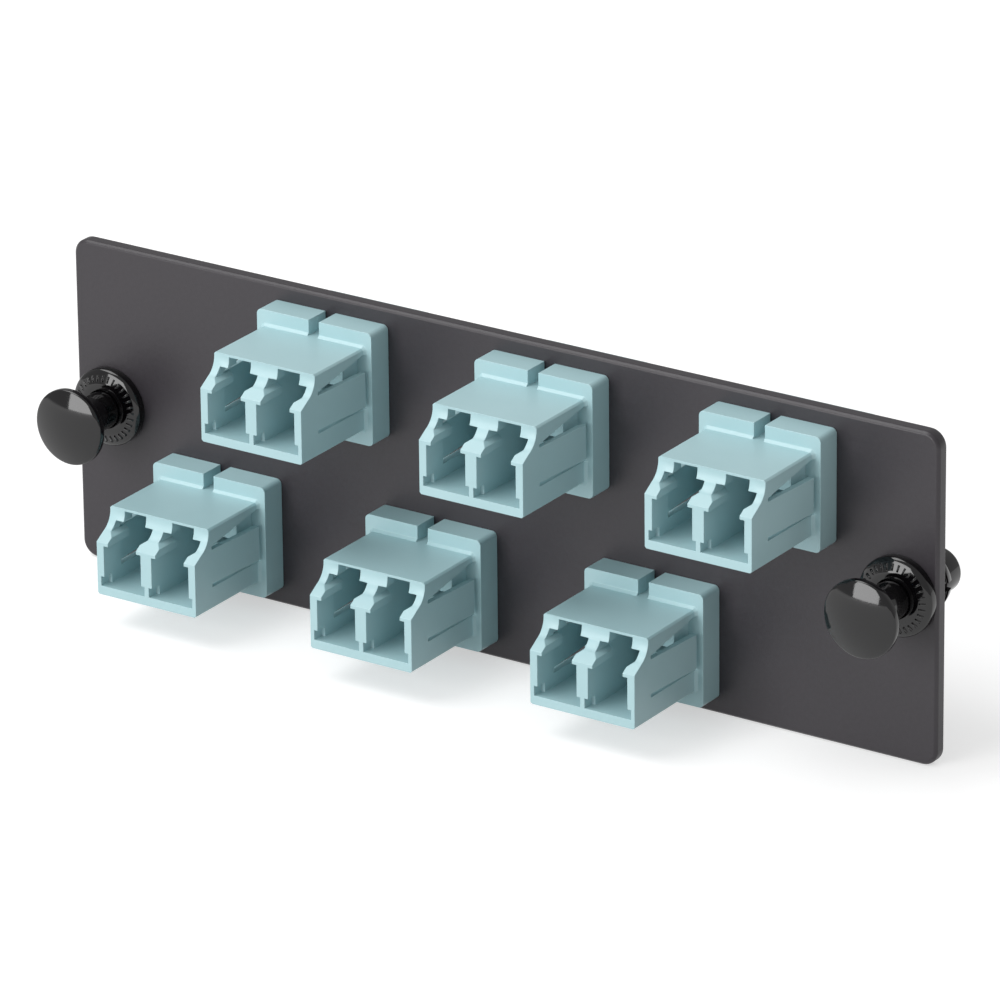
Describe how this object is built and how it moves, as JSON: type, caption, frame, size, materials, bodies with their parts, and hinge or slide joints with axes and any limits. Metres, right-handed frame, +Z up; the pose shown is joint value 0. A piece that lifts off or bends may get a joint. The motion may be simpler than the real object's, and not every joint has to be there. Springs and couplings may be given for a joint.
{
  "type": "fibre adapter panel",
  "caption": "Flat rectangular panel carrying staggered rows of duplex fibre-optic adapters, with a push-pull plunger latch at each end.",
  "frame": {"origin": "middle of the plate's rear face, which lies against the enclosure", "axes": "+X along the plate, +Y out of its rear face (plugs enter the front from -Y), +Z up"},
  "size_m": [0.1086, 0.0268, 0.037],
  "materials": {
    "plate_paint": "fine matte powder coat, charcoal",
    "adapter_plastic": "satin moulded, aqua",
    "sleeve_bronze": "plain phosphor bronze strip",
    "latch_plastic": "gloss moulded, black"
  },
  "bodies": {
    "panel": {"panel_plate": "plate_paint", "adapter_1_front_housing": "adapter_plastic", "adapter_1_rear_housing": "adapter_plastic", "adapter_1_sleeve_left": "sleeve_bronze", "adapter_1_sleeve_right": "sleeve_bronze", "adapter_2_front_housing": "adapter_plastic", "adapter_2_rear_housing": "adapter_plastic", "adapter_2_sleeve_left": "sleeve_bronze", "adapter_2_sleeve_right": "sleeve_bronze", "adapter_3_front_housing": "adapter_plastic", "adapter_3_rear_housing": "adapter_plastic", "adapter_3_sleeve_left": "sleeve_bronze", "adapter_3_sleeve_right": "sleeve_bronze", "adapter_4_front_housing": "adapter_plastic", "adapter_4_rear_housing": "adapter_plastic", "adapter_4_sleeve_left": "sleeve_bronze", "adapter_4_sleeve_right": "sleeve_bronze", "adapter_5_front_housing": "adapter_plastic", "adapter_5_rear_housing": "adapter_plastic", "adapter_5_sleeve_left": "sleeve_bronze", "adapter_5_sleeve_right": "sleeve_bronze", "adapter_6_front_housing": "adapter_plastic", "adapter_6_rear_housing": "adapter_plastic", "adapter_6_sleeve_left": "sleeve_bronze", "adapter_6_sleeve_right": "sleeve_bronze", "latch_left_grommet": "latch_plastic", "latch_right_grommet": "latch_plastic"},
    "left_plunger": {"latch_left_plunger": "latch_plastic"},
    "right_plunger": {"latch_right_plunger": "latch_plastic"}
  },
  "joints": [
    {"name": "left_latch_push", "type": "slide", "parent": "panel", "child": "left_plunger", "axis": [0, 1, 0], "range_m": [0, 0.0053]},
    {"name": "right_latch_push", "type": "slide", "parent": "panel", "child": "right_plunger", "axis": [0, 1, 0], "range_m": [0, 0.0053]}
  ]
}
